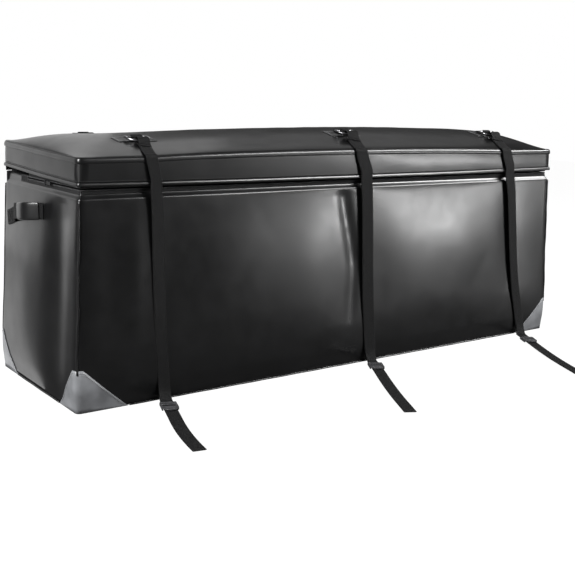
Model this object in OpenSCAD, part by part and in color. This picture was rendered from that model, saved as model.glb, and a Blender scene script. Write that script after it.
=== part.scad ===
// Soft cargo bag for a hitch-mounted tray: a boxy coated-fabric body with a zipped,
// flap-edged lid, end handles, grey corner guards, lid-top rings and three tie-down straps.
// X runs along the length, Y from front to back, Z up. The origin is the middle of the
// base, on the surface that the bag stands on.

/* [Bag] */
// Outside length of the body
bag_length = 1550; // [1500:5:1600]
// Outside depth of the body
bag_depth = 440; // [430:2:450]
// Thickness of the coated fabric with its lining
panel_t = 4; // [3:0.5:5]
// Height of the main panels, up to the ledge below the zip
panel_height = 468; // [466:1:469]
// Length of a corner guard along the front and back
guard_length = 121; // [90:1:150]
// Depth of a corner guard along the ends
guard_depth = 91; // [60:1:120]
// Height of a corner guard
guard_height = 98; // [70:1:120]
// Radius of the cord sewn into the upright corner seams
piping_r = 3; // [2:0.5:3]

/* [Lid] */
// Height of the lid's edge above the ground
lid_height = 560; // [560:1:562]
// How far the middle of the lid rises above its edge
lid_crown = 40; // [39:1:41]
// How much further the crown is stretched up where it is fullest
lid_arch = 17; // [0:1:18]
// Height of the lid's hem above the ground
hem_height = 498.3; // [498.3:0.1:499]
// Height of the rolled hem
hem_roll = 7.7; // [6:0.1:9]
// Height of the binding along the lid's top edge
binding_height = 14; // [10:1:18]

/* [Zip] */
// Height of the zip's centre line
zip_height = 491; // [490.8:0.1:491.2]
// How far the zip sits behind the panels' outer face
zip_inset = 8; // [7:0.5:9]
// Distance of the zip's end behind the middle of the bag
zip_end = 83; // [60:1:100]
// Distance of the sliders in front of the middle of the bag
slider_set_back = 40; // [20:1:60]
// Length of a zip pull
pull_length = 30; // [20:1:40]

/* [Straps and rings] */
// Width of the strap webbing
webbing_w = 38; // [36:1:38]
// Width of the webbing of the straps' free ends
tail_w = 30; // [28:1:30]
// Thickness of the strap webbing
webbing_t = 2.2; // [1.6:0.1:2.2]
// Inside width of a ring
ring_width = 50; // [48:1:52]
// Diameter of the ring wire
wire_d = 5.6; // [5:0.2:5.8]
// Length of an anchor patch
patch_length = 100; // [100:5:105]
// Depth of an anchor patch
patch_depth = 50; // [44:1:50]
// Distance of the front anchors from the middle of the bag
anchor_y = 118; // [117:1:119]
// Distance of the back anchors from the middle of the bag
back_anchor_y = 150; // [149:1:151]

/* [Hidden] */
half_l = bag_length / 2;
half_d = bag_depth / 2;
lid_l = half_l + 2;
lid_d = half_d + 2;
skirt_bottom = hem_height + hem_roll;
skirt_top = lid_height - panel_t;
band_x = half_l - zip_inset;
band_y = half_d - zip_inset;
band_t = 3;
ledge_t = 2.5;
band_top = 480;
ledge_drop = 12;
hinge_gap = 0.6;

webbing_color = [0.07, 0.07, 0.075];
pvc_color = [0.09, 0.09, 0.095];
guard_color = [0.55, 0.56, 0.57];
steel_color = [0.55, 0.55, 0.56];
plastic_color = [0.16, 0.16, 0.17];

// Places of the three straps along the bag, how far each bows sideways and how far it is lifted
// where it crosses the lid's front edge, and how far each leans by the time it is down.
strap_x = [-594, 26, 586];
strap_bow = [-12, -20, -18];
strap_lift = [2, 9, 3];
// How far each front anchor is lifted by the fullness of the crown.
anchor_lift = [0, 14.2, 10.6];
// Where along the bag the crown is fullest, and the distance over which that fades out.
arch_x = 200;
arch_half = 760;
strap_lean = [28, 33, 79];
// Heading of each strap end on the ground, measured from straight forward.
tail_turn = [20, 31, 31];
// Distance of each buckle from its strap's foot.
buckle_set = [8, 8, 38];

// Route of a strap's sewn eye and its run over the lid, down to the hem: distance forward,
// height, the share of its bow and lift that it has by then, and the share of its anchor's lift.
run_route = [[182, 580.4, 0.3, 0.55], [176, 583, 0.17, 0.68], [170, 589, 0.05, 0.9],
    [165, 597, 0, 1], [158, 600, 0, 1], [151.5, 598, 0, 1], [149, 592, 0, 1], [151, 587, 0, 1],
    [157, 585.2, 0, 1], [164, 583.9, 0, 1], [172, 581, 0.1, 0.8], [180, 578.4, 0.25, 0.55],
    [195, 573, 0.6, 0.33], [210, 567.4, 0.9, 0.14], [219, 563.6, 1, 0.04], [224.5, 562, 1, 0],
    [227.5, 557, 0.95, 0], [228, 548, 0.85, 0], [228.5, 528, 0.4, 0], [228.9, 510, 0, 0],
    [229, 498, 0, 0]];
// Route of a strap from the hem down the front of the bag to its foot: distance forward,
// height, and the share of its lean that it has by then.
drop_route = [[229, 495, 0], [229.2, 484, 0], [230, 440, 0.12], [231, 380, 0.2], [231.5, 300, 0.3],
    [232, 220, 0.42], [232, 150, 0.56], [231.5, 95, 0.74], [230.5, 50, 0.9], [231, 28, 0.97],
    [235, 14, 0.97], [242, 6, 0.9], [250, 3.6, 0.8], [256, 3.6, 0.72]];
// Routes of the strap ends on the ground: distance along the heading, sideways drift, height.
tail_routes = [
    [[8, 0, 3.6], [50, 0, 3.6], [95, 0, 3.6], [140, 0, 3.6], [180, 1.5, 3.2], [220, 5, 2.4],
     [260, 10, 2], [298, 16, 2]],
    [[8, 0, 3.6], [50, 0, 3.6], [100, 0, 3.6], [150, 0, 3.6], [200, 1, 3], [250, 3, 2.3],
     [300, 5.5, 2], [345, 8.5, 2], [386, 11, 2]],
    [[8, 0, 3.6], [60, 0, 3.6], [115, 0, 3.6], [170, 0, 3.6], [210, 2, 3], [255, 5, 2.3],
     [300, 9, 2], [350, 14, 2], [412, 21, 2]]];

// Route of an end handle: stand-off from the panel, distance behind the middle, height.
handle_far = [[2, 186, 385], [2.2, 162, 391], [3.5, 138, 399], [12, 118, 405], [22, 98, 411],
    [29, 75, 414.5], [32, 51, 417]];
grip_route = [[32, 49.5, 417.1], [32, 20, 420], [27, 0, 421.6], [15, -17, 423.2], [8, -24, 423.8]];
handle_near = [[6.9, -25.1, 423.9], [4, -28.2, 424.1], [2.2, -32, 424.3], [2, -36, 424.5]];
handle_t = 3;
grip_w = 42;
grip_t = 7;

// Gap between a strap's foot and the hinge of its free end.
foot_gap = 1;

// An anchor: thickness of its patch, and the ring's bar in the anchor's own frame.
patch_t = 1.6;
bar_y = -8;
bar_z = 8;

// Distance of a pull's pin in front of the zip band, and half the gap between the chains.
pin_off = 9.8;
chain_gap = 1.3;
chain_h = 3.2;
chain_proud = 3;
chain_depth = 6;
tape_t = 1.2;

function unit(v) = v / norm(v);
function tangent(p, i) = unit(p[min(i + 1, len(p) - 1)] - p[max(i - 1, 0)]);

// The lid's crowned surface.
function fullness(x) = lid_arch * max(0, 1 - pow((x - arch_x) / arch_half, 2));
function across(y) = 1 - pow(abs(y) / lid_d, 2.6);
function rise(x, y) = (lid_crown + fullness(x)) * (1 - pow(abs(x) / lid_l, 10)) * across(y);
function lid_z(x, y) = lid_height + rise(x, y);

// Height and tilt of the anchors: the front ones keep one tilt, and the back ones lie on the lid.
function seat(i, row) = row < 0
    ? lid_height + lid_crown * across(anchor_y) + anchor_lift[i]
    : max([for (d = [-1, 0, 1]) lid_z(strap_x[i] + d * patch_length / 2, back_anchor_y)]);
function tilt(i, row) = row < 0
    ? atan(lid_crown * (across(anchor_y - 1) - across(anchor_y + 1)) / 2)
    : atan((rise(strap_x[i], back_anchor_y - 1) - rise(strap_x[i], back_anchor_y + 1)) / 2);

// A box given by its lowest and highest corners.
module block(low, high) {
    translate(low) cube(high - low);
}

// A strip open at the back that runs round the front and both ends.
module front_run(x, y, back, t, low, high) {
    difference() {
        block([-x, -y, low], [x, back, high]);
        block([t - x, t - y, low - 1], [x - t, back + 1, high + 1]);
    }
}

// A flat strip with a rectangular section, swept along a route with its flat side facing up.
module strip(route, up, w, t) {
    n = len(route);
    rings = [for (i = [0 : n - 1])
        let (along = tangent(route, i),
             side = unit(cross(along, up[i])) * w / 2,
             lift = unit(cross(side, along)) * t / 2)
        each [route[i] - side - lift, route[i] + side - lift,
              route[i] + side + lift, route[i] - side + lift]];
    walls = [for (i = [0 : n - 2], k = [0 : 3])
        let (a = 4 * i + k, b = 4 * i + (k + 1) % 4)
        each [[a, b, b + 4], [a, b + 4, a + 4]]];
    last = 4 * (n - 1);
    ends = [[0, 3, 2], [0, 2, 1],
            [last, last + 1, last + 2], [last, last + 2, last + 3]];
    polyhedron(points = rings, faces = [for (f = concat(walls, ends)) [f[0], f[2], f[1]]]);
}

// Outward directions along a route that lies in a plane across the bag.
function outward(route) = [for (i = [0 : len(route) - 1])
    let (t = tangent(route, i)) unit([0, t[2], -t[1]])];

module base_panel() {
    color(pvc_color) block([-half_l, -half_d, 0], [half_l, half_d, panel_t]);
}

module front_panel() {
    color(pvc_color) block([-half_l, -half_d, panel_t], [half_l, panel_t - half_d, panel_height]);
}

module back_panel() {
    color(pvc_color)
        block([-half_l, half_d - panel_t, panel_t], [half_l, half_d, hem_height - hinge_gap]);
}

module end_panel(side) {
    color(pvc_color) scale([side, 1, 1])
        block([half_l - panel_t, panel_t - half_d, panel_t], [half_l, half_d - panel_t, panel_height]);
}

module corner_piping() {
    stand_off = piping_r * 0.74;
    color(pvc_color) for (x = [-1, 1], y = [-1, 1])
        translate([x * (half_l + stand_off), y * (half_d + stand_off), guard_height])
            cylinder(r = piping_r, h = panel_height - guard_height, $fn = 24);
}

module base_piping() {
    bead_r = 2.5;
    off = bead_r + 0.1;
    gap = 4;
    front = half_l - guard_length - gap;
    end = half_d - guard_depth - gap;
    color(pvc_color) for (s = [-1, 1]) {
        translate([-front, s * (half_d + off), off])
            rotate([0, 90, 0]) cylinder(r = bead_r, h = 2 * front, $fn = 24);
        translate([s * (half_l + off), end, off])
            rotate([90, 0, 0]) cylinder(r = bead_r, h = 2 * end, $fn = 24);
    }
}

// A grey guard folded round a bottom corner, one triangle on each face.
module corner_guard(sx, sy) {
    t = 1.5;
    color(guard_color) scale([sx, sy, 1]) {
        translate([0, half_d + t, 0]) rotate([90, 0, 0]) linear_extrude(t)
            polygon([[half_l - guard_length, 0], [half_l, 0], [half_l, guard_height]]);
        translate([half_l, 0, 0]) rotate([90, 0, 90]) linear_extrude(t)
            polygon([[half_d - guard_depth, 0], [half_d + t, 0], [half_d + t, guard_height]]);
    }
}

module zip_band_front() {
    color(pvc_color) {
        block([-half_l, -half_d, panel_height], [half_l, ledge_drop - half_d, panel_height + ledge_t]);
        block([-band_x, -band_y, panel_height + ledge_t], [band_x, band_t - band_y, band_top]);
    }
}

module zip_band_end(side) {
    back = half_d - panel_t;
    color(pvc_color) scale([side, 1, 1]) {
        block([half_l - ledge_drop, ledge_drop - half_d, panel_height],
              [half_l, back, panel_height + ledge_t]);
        block([band_x - band_t, band_t - band_y, panel_height + ledge_t], [band_x, back, band_top]);
        block([band_x - band_t, zip_end, band_top], [band_x, back, hem_height - 2 * hinge_gap]);
    }
}

module zip_tape_lower() {
    top = zip_height - chain_gap - chain_h;
    color(webbing_color) front_run(band_x - 1, band_y - 1, zip_end - 1, tape_t, band_top, top);
}

module zip_chain_lower() {
    top = zip_height - chain_gap;
    color(webbing_color)
        front_run(band_x + chain_proud, band_y + chain_proud, zip_end - 1, chain_depth,
                  top - chain_h, top);
}

module zip_end_patches() {
    t = 1.5;
    length = 45;
    color(webbing_color) for (side = [-1, 1]) scale([side, 1, 1])
        block([band_x, zip_end, zip_height - 12], [band_x + t, zip_end + length, zip_height + 6]);
}

module hinge_strip() {
    inside = half_d - panel_t;
    end = band_x - 8;
    t = 1.5;
    tall = 27.4;
    high = hem_height - hinge_gap;
    color(webbing_color) block([-end, inside - t, high - tall], [end, inside, high]);
}

// Places a route given as stand-off, distance behind the middle and height on an end panel.
function on_end(route, side) = [for (p = route) [side * (half_l + p[0]), p[1], p[2]]];

module end_strip(route, side, w, t) {
    placed = on_end(route, side);
    up = [for (i = [0 : len(placed) - 1])
        let (a = tangent(placed, i)) unit([a[1], -a[0], 0])];
    strip(placed, up, w, t);
}

module handle_webbing(side) {
    color(webbing_color) for (route = [handle_far, handle_near])
        end_strip(route, side, webbing_w, handle_t);
}

module handle_grip(side) {
    color(pvc_color) end_strip(grip_route, side, grip_w, grip_t);
}

// The crowned top: a shell of even thickness over the whole lid.
module lid_top() {
    nx = 30;
    ny = 14;
    row = ny + 1;
    count = (nx + 1) * row;
    top = [for (i = [0 : nx], j = [0 : ny])
        let (x = lid_l * sin(90 * (2 * i / nx - 1)), y = lid_d * (2 * j / ny - 1))
        [x, y, lid_z(x, y)]];
    under = [for (p = top) p - [0, 0, panel_t]];
    skin = [for (i = [0 : nx - 1], j = [0 : ny - 1])
        let (a = i * row + j)
        each [[a, a + row, a + row + 1], [a, a + row + 1, a + 1]]];
    lining = [for (f = skin) [f[0] + count, f[2] + count, f[1] + count]];
    rim = concat([for (i = [0 : nx]) i * row], [for (j = [1 : ny]) nx * row + j],
                 [for (i = [1 : nx]) (nx - i) * row + ny], [for (j = [1 : ny - 1]) ny - j]);
    last = len(rim);
    edge = [for (k = [0 : last - 1])
        let (a = rim[k], b = rim[(k + 1) % last])
        each [[b, a, a + count], [b, a + count, b + count]]];
    color(pvc_color)
        polyhedron(points = concat(top, under),
                   faces = [for (f = concat(skin, lining, edge)) [f[0], f[2], f[1]]]);
}

module lid_front_flap() {
    color(pvc_color) block([-lid_l, -lid_d, skirt_bottom], [lid_l, panel_t - lid_d, skirt_top]);
}

module lid_back_flap() {
    color(pvc_color) block([-lid_l, lid_d - panel_t, hem_height], [lid_l, lid_d, skirt_top]);
}

module lid_end_flap(side) {
    color(pvc_color) scale([side, 1, 1])
        block([lid_l - panel_t, panel_t - lid_d, skirt_bottom], [lid_l, lid_d - panel_t, skirt_top]);
}

module lid_edge_binding() {
    t = 2;
    low = lid_height - binding_height;
    color(pvc_color) difference() {
        block([-lid_l - t, -lid_d - t, low], [lid_l + t, lid_d + t, lid_height]);
        block([-lid_l, -lid_d, low - 1], [lid_l, lid_d, lid_height + 1]);
    }
}

module lid_hem() {
    proud = 2.5;
    roll_t = 8;
    color(pvc_color)
        front_run(lid_l + proud, lid_d + proud, lid_d - panel_t, roll_t, hem_height, skirt_bottom);
}

// The upper tape hangs from a flange that reaches in from the lid's flaps.
module zip_tape_upper() {
    flange_z = zip_height + 21;
    flange_t = 1.5;
    flange_w = 9;
    low = zip_height + chain_gap + chain_h;
    color(webbing_color) {
        front_run(band_x - 1, band_y - 1, zip_end - 1, tape_t, low, flange_z);
        front_run(lid_l - panel_t, lid_d - panel_t, zip_end - 1, flange_w,
                  flange_z, flange_z + flange_t);
    }
}

module zip_chain_upper() {
    low = zip_height + chain_gap;
    color(webbing_color)
        front_run(band_x + chain_proud, band_y + chain_proud, zip_end - 1, chain_depth,
                  low, low + chain_h);
}

// Local frame of an anchor: on the lid's surface, with the ring's bow to local -Y.
module on_lid(i, row) {
    y = row < 0 ? -anchor_y : back_anchor_y;
    translate([strap_x[i], y, seat(i, row) + 0.2])
        rotate([-row * tilt(i, row), 0, 0])
            scale([1, -row, 1])
                children();
}

module anchor_patches() {
    color(pvc_color) for (i = [0 : 2], row = [-1, 1]) on_lid(i, row)
        block([-patch_length / 2, -patch_depth / 2, 0], [patch_length / 2, patch_depth / 2, patch_t]);
}

// A webbing loop sewn to the patch and wrapped round the ring's straight bar.
module anchor_loop() {
    w = 28;
    sewn = 30;
    clearance = 0.5;
    inner = wire_d / 2 + clearance;
    rotate([90, 0, 90]) translate([0, 0, -w / 2]) linear_extrude(w) difference() {
        union() {
            translate([bar_y, bar_z]) circle(r = inner + webbing_t, $fn = 48);
            translate([bar_y, patch_t]) square([sewn, 2 * webbing_t]);
        }
        translate([bar_y, bar_z]) circle(r = inner, $fn = 48);
    }
}

module anchor_loops() {
    color(webbing_color) for (i = [0 : 2], row = [-1, 1]) on_lid(i, row) anchor_loop();
}

// A ring of round wire: a straight bar, two short sides and a half-round bow.
module d_ring(droop) {
    wire_r = wire_d / 2;
    half = (ring_width + wire_d) / 2;
    shank = 8;
    color(steel_color) translate([0, bar_y, bar_z]) rotate([droop, 0, 0]) {
        translate([-half, 0, 0]) rotate([0, 90, 0]) cylinder(r = wire_r, h = 2 * half, $fn = 32);
        for (s = [-1, 1]) {
            translate([s * half, 0, 0]) sphere(r = wire_r, $fn = 32);
            translate([s * half, 0, 0]) rotate([90, 0, 0]) cylinder(r = wire_r, h = shank, $fn = 32);
        }
        translate([0, -shank, 0]) rotate([0, 0, 180]) rotate_extrude(angle = 180, $fn = 64)
            translate([half, 0]) circle(r = wire_r, $fn = 32);
    }
}

module ring_front(i) { on_lid(i, -1) d_ring(3); }
module ring_back(i) { on_lid(i, 1) d_ring(8); }

module strap_run(i) {
    route = [for (p = run_route)
        [strap_x[i] + strap_bow[i] * p[2], -p[0],
         p[1] + strap_lift[i] * p[2] + anchor_lift[i] * p[3]]];
    color(webbing_color) strip(route, outward(route), webbing_w, webbing_t);
}

// A strap's foot turns towards its heading on the ground.
function foot(i) =
    let (end = drop_route[len(drop_route) - 1])
    [strap_x[i] + strap_lean[i] * end[2], -end[0], end[1]];

module strap_drop(i) {
    route = [for (p = drop_route) [strap_x[i] + strap_lean[i] * p[2], -p[0], p[1]]];
    color(webbing_color) strip(route, outward(route), webbing_w, webbing_t);
}

// Local frame of a strap end: its hinge at the foot, with local -Y along its heading.
module at_foot(i) {
    p = foot(i);
    translate([p[0], p[1] - foot_gap, 0]) rotate([0, 0, -tail_turn[i]]) children();
}

module strap_tail(i) {
    route = [for (p = tail_routes[i]) [p[1], -p[0], p[2]]];
    color(webbing_color) at_foot(i)
        strip(route, [for (p = route) [0, 0, 1]], tail_w, webbing_t);
}

// A one-piece ladder buckle: two rails joined by bars, with a rounded thumb tab.
module buckle(i) {
    tab_y = 38;
    rail = 3.6;
    inside = 15.8;
    low = 0.5;
    high = 8.5;
    over = 5.4;
    under = 1.9;
    top_bars = [[0, 6], [13, 19], [28, tab_y]];
    low_bar = [21, 26];
    tab_r = inside + rail;
    color(plastic_color) at_foot(i) scale([1, -1, 1]) translate([0, buckle_set[i], 0]) {
        for (s = [-1, 1]) scale([s, 1, 1]) block([inside, 0, low], [inside + rail, tab_y, high]);
        for (b = top_bars) block([-inside, b[0], over], [inside, b[1], high]);
        block([-inside, low_bar[0], low], [inside, low_bar[1], under]);
        translate([0, tab_y, over]) intersection() {
            cylinder(r = tab_r, h = high - over, $fn = 64);
            block([-tab_r, 0, -1], [tab_r, tab_r, high]);
        }
    }
}

// A slider: two plates either side of the zip, joined by a post, with lugs for the pull's pin.
module slider(side) {
    half = 8;
    plate_t = 1.8;
    low = zip_height - 6;
    high = zip_height + 5.6;
    outer = band_x + 3.6;
    inner = outer - 8;
    post = [2, 0.8];
    lug = [2.5, 1.5];
    pin_r = 1.1;
    color(steel_color) scale([side, 1, 1]) translate([0, -slider_set_back, 0]) {
        block([outer, -half, low], [outer + plate_t, half, high]);
        block([inner - plate_t, -half, low], [inner, half, high]);
        block([inner, -post[0], zip_height - post[1]], [outer, post[0], zip_height + post[1]]);
        for (z = [low, high - lug[1]])
            block([outer + plate_t, -lug[0], z], [band_x + pin_off + 1.6, lug[0], z + lug[1]]);
        translate([band_x + pin_off, 0, low]) cylinder(r = pin_r, h = high - low, $fn = 24);
    }
}

module zip_pull(side) {
    low = zip_height - 3.8;
    tall = 7.2;
    blade_t = 1.6;
    eye_r = 2.9;
    bore_r = 1.4;
    color(steel_color) scale([side, 1, 1])
        translate([band_x + pin_off, -slider_set_back, low]) difference() {
            union() {
                cylinder(r = eye_r, h = tall, $fn = 32);
                translate([-blade_t / 2, -pull_length, 0]) cube([blade_t, pull_length, tall]);
            }
            translate([0, 0, -1]) cylinder(r = bore_r, h = tall + 2, $fn = 24);
        }
}

base_panel();
front_panel();
back_panel();
end_panel(-1);  // left_panel
end_panel(1);  // right_panel
corner_piping();
base_piping();
corner_guard(-1, -1);  // front_left_guard
corner_guard(1, -1);  // front_right_guard
corner_guard(-1, 1);  // back_left_guard
corner_guard(1, 1);  // back_right_guard
zip_band_front();
zip_band_end(-1);  // zip_band_left
zip_band_end(1);  // zip_band_right
zip_tape_lower();
zip_chain_lower();
zip_end_patches();
hinge_strip();
handle_webbing(-1);  // left_handle_webbing
handle_grip(-1);  // left_handle_grip
handle_webbing(1);  // right_handle_webbing
handle_grip(1);  // right_handle_grip
lid_top();
lid_front_flap();
lid_end_flap(-1);  // lid_left_flap
lid_end_flap(1);  // lid_right_flap
lid_back_flap();
lid_edge_binding();
lid_hem();
zip_tape_upper();
zip_chain_upper();
anchor_patches();
anchor_loops();
ring_front(0);  // ring_front_left
ring_front(1);  // ring_front_middle
ring_front(2);  // ring_front_right
ring_back(0);  // ring_back_left
ring_back(1);  // ring_back_middle
ring_back(2);  // ring_back_right
strap_run(0);  // strap_left_run
strap_run(1);  // strap_middle_run
strap_run(2);  // strap_right_run
strap_drop(0);  // strap_left_drop
strap_drop(1);  // strap_middle_drop
strap_drop(2);  // strap_right_drop
strap_tail(0);  // strap_left_tail
strap_tail(1);  // strap_middle_tail
strap_tail(2);  // strap_right_tail
buckle(0);  // buckle_left
buckle(1);  // buckle_middle
buckle(2);  // buckle_right
slider(-1);  // slider_left
slider(1);  // slider_right
zip_pull(-1);  // pull_left
zip_pull(1);  // pull_right
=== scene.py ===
"""A soft cargo bag for a hitch tray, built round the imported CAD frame.

Metres throughout. X runs along the bag, the front with its straps faces -Y, and Z is up.
"""

import math

import bmesh
import bpy
from mathutils import Matrix, Vector, noise


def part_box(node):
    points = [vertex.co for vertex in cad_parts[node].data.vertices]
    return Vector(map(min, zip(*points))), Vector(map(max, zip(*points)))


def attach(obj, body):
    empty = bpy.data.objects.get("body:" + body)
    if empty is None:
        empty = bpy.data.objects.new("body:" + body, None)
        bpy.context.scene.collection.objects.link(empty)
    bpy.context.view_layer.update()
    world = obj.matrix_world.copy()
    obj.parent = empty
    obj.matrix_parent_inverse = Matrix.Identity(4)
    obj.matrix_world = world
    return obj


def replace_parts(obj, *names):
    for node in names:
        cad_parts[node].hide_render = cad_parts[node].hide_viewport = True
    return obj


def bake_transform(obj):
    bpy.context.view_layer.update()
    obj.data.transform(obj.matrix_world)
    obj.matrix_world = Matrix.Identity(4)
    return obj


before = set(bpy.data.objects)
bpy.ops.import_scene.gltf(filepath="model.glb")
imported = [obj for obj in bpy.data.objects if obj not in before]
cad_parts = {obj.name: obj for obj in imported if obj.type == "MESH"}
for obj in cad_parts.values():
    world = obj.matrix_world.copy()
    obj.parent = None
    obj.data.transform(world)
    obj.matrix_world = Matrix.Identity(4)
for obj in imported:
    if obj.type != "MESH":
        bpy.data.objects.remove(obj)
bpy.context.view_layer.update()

# ---- sizes from the frame
HALF_L, HALF_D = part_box("base_panel")[1].x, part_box("base_panel")[1].y
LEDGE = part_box("front_panel")[1].z
BACK_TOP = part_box("back_panel")[1].z
LID_L, LID_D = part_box("lid_top")[1].x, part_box("lid_top")[1].y
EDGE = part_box("lid_edge_binding")[1].z
HEM_LOW, HEM_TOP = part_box("lid_hem")[0].z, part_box("lid_hem")[1].z
TAPE_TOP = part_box("zip_tape_lower")[1].z
ZIP_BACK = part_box("zip_tape_lower")[1].y
TAPE_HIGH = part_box("zip_tape_upper")[1].z
GUARD_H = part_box("front_left_guard")[1].z
GUARD_L = HALF_L - abs(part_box("front_left_guard")[1].x)
GUARD_D = HALF_D - abs(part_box("front_left_guard")[1].y)

INSET = 0.008  # how far the zip band sits behind the panels
CORNER_R = 0.009  # roundness of the upright corners
FABRIC_T = 0.0015
CROWN, CROWN_MORE = 0.040, 0.017  # the lid's rise everywhere, and what its fullest part adds
FULL_X, FULL_HALF = 0.200, 0.760  # the middle and half length of that fullest part
SIDES = ("left", "middle", "right")

# ---- camera
CAMERA_AT = (-1.6194, -2.1009, 0.7033)
YAW, PITCH, ROLL = (math.radians(a) for a in (36.362, 5.497, 1.5892))
LENS, SHIFT_X, SHIFT_Y = 59.784, 0.0058, -0.1746


def make_camera():
    ahead = Vector((math.sin(YAW) * math.cos(PITCH), math.cos(YAW) * math.cos(PITCH), -math.sin(PITCH)))
    right = Vector((math.cos(YAW), -math.sin(YAW), 0))
    up = right.cross(ahead)
    c, s = math.cos(ROLL), math.sin(ROLL)
    right, up = c * right + s * up, c * up - s * right
    data = bpy.data.cameras.new("camera")
    data.lens, data.sensor_width = LENS, 36
    data.shift_x, data.shift_y = SHIFT_X, SHIFT_Y
    camera = new_object("camera", data)
    turn = Matrix((right, up, -ahead)).transposed().to_4x4()
    camera.matrix_world = Matrix.Translation(CAMERA_AT) @ turn
    bpy.context.scene.camera = camera


# ---- materials
def link(output, socket):
    socket.id_data.links.new(output, socket)


def shader(name, color, roughness, metallic=0.0, **sockets):
    """A new material with its Principled shader's own sockets set."""
    mat = bpy.data.materials.new(name)
    mat.use_nodes = True
    bsdf = mat.node_tree.nodes["Principled BSDF"]
    bsdf.inputs["Base Color"].default_value = (*color, 1)
    bsdf.inputs["Roughness"].default_value = roughness
    bsdf.inputs["Metallic"].default_value = metallic
    for socket, value in sockets.items():
        bsdf.inputs[socket.replace("_", " ")].default_value = value
    return mat, mat.node_tree, bsdf


def noise_tex(tree, scale, detail=3.0, stretch=(1, 1, 1)):
    """A noise texture in the object's metres; scale is in features per metre."""
    coord = tree.nodes.new("ShaderNodeTexCoord")
    mapping = tree.nodes.new("ShaderNodeMapping")
    mapping.inputs["Scale"].default_value = stretch
    link(coord.outputs["Object"], mapping.inputs["Vector"])
    tex = tree.nodes.new("ShaderNodeTexNoise")
    tex.inputs["Scale"].default_value = scale
    tex.inputs["Detail"].default_value = detail
    link(mapping.outputs["Vector"], tex.inputs["Vector"])
    return tex.outputs["Fac"]


def ramp(tree, fac, low, high, start=0.35, end=0.65):
    """A colour ramp between two greys or colours."""
    node = tree.nodes.new("ShaderNodeValToRGB")
    for element, place, value in zip(node.color_ramp.elements, (start, end), (low, high)):
        element.position = place
        element.color = (*value, 1) if hasattr(value, "__len__") else (value, value, value, 1)
    link(fac, node.inputs["Fac"])
    return node.outputs["Color"]


def bump(tree, height, strength, distance, before=None):
    node = tree.nodes.new("ShaderNodeBump")
    node.inputs["Strength"].default_value = strength
    node.inputs["Distance"].default_value = distance
    link(height, node.inputs["Height"])
    if before is not None:
        link(before, node.inputs["Normal"])
    return node.outputs["Normal"]


def math_node(tree, operation, a, b=None):
    node = tree.nodes.new("ShaderNodeMath")
    node.operation = operation
    for socket, value in zip(node.inputs, (a, b)):
        if value is None:
            continue
        if isinstance(value, (int, float)):
            socket.default_value = value
        else:
            link(value, socket)
    return node.outputs[0]


def mottled(name, color, roughness, tones, gloss, grain, metallic=0.0, **sockets):
    """A shader whose colour, roughness and relief vary a little from place to place.

    tones is the colour's noise and its darkest and lightest share, gloss the roughness's noise and
    how far it goes down and up, and grain the relief's noise, strength and depth.
    """
    mat, tree, bsdf = shader(name, color, roughness, metallic, **sockets)
    (noise_of, dark, light), (rough_noise, down, more) = tones, gloss
    low, high = (tuple(c * share for c in color) for share in (dark, light))
    link(ramp(tree, noise_tex(tree, *noise_of), low, high), bsdf.inputs["Base Color"])
    rough = ramp(tree, noise_tex(tree, *rough_noise), roughness - down, roughness + more)
    link(rough, bsdf.inputs["Roughness"])
    relief = bump(tree, noise_tex(tree, *grain[0]), *grain[1:])
    link(relief, bsdf.inputs["Normal"])
    return mat, tree, bsdf, relief


def vinyl(name, color, roughness, ripple=0.5):
    """Coated fabric: a gloss skin with fine embossed grain, soft ripples and slight scuffing."""
    mat, tree, bsdf, grain = mottled(
        name, color, roughness, ((14,), 0.75, 1.3), ((22, 5), 0.015, 0.025), ((900, 1), 0.06, 0.0004),
        IOR=1.46, Coat_Weight=0.15, Coat_Roughness=0.18,
    )
    link(bump(tree, noise_tex(tree, 9, 2), ripple, 0.0025, grain), bsdf.inputs["Normal"])
    return mat


def woven(name, color, rib=0.0021, pick=0.0016, depth=0.0005):
    """Webbing: ribs along the strap crossed by a staggered pick, from the cloth attribute."""
    sockets = dict(Sheen_Weight=0.02, Sheen_Roughness=0.4, Specular_IOR_Level=0.22)
    mat, tree, bsdf = shader(name, color, 0.68, **sockets)
    place = tree.nodes.new("ShaderNodeAttribute")
    place.attribute_name = "cloth"
    split = tree.nodes.new("ShaderNodeSeparateXYZ")
    link(place.outputs["Vector"], split.inputs["Vector"])
    across = math_node(tree, "MULTIPLY", split.outputs["X"], 2 * math.pi / rib)
    along = math_node(tree, "MULTIPLY", split.outputs["Y"], 2 * math.pi / (2 * pick))
    ribs = math_node(tree, "SINE", across)
    slant = math_node(tree, "SINE", math_node(tree, "ADD", along, math_node(tree, "MULTIPLY", across, 0.5)))
    weave = math_node(tree, "ADD", math_node(tree, "ABSOLUTE", ribs), math_node(tree, "MULTIPLY", slant, 0.6))
    # The colour follows the weave's relief: darker in its grooves and lighter on its raised ribs, a painted
    # shade and painted highlight on the webbing.
    weave_shading = math_node(tree, "MULTIPLY", weave, 0.5)
    low = tuple(c * 0.55 for c in color)
    high = tuple(c * 1.5 for c in color)
    link(ramp(tree, weave_shading, low, high, 0.05, 0.8), bsdf.inputs["Base Color"])
    normal = bump(tree, weave, 0.7, depth)
    link(bump(tree, noise_tex(tree, 60, 2), 0.3, 0.0008, normal), bsdf.inputs["Normal"])
    return mat


def moulded(name, color, roughness, grain=0.05):
    """Moulded plastic, or thread."""
    tones, gloss = ((120, 4), 0.85, 1.2), ((260, 4), 0.06, 0.08)
    return mottled(name, color, roughness, tones, gloss, ((1500, 2), grain, 0.0002), IOR=1.48)[0]


def plated(name, color, roughness):
    """Plated metal, brushed along one way."""
    tones, gloss = ((90, 5), 0.8, 1.0), ((300, 5, (1, 6, 6)), 0.08, 0.12)
    return mottled(name, color, roughness, tones, gloss, ((700, 3), 0.08, 0.0002), 1.0)[0]


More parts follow.
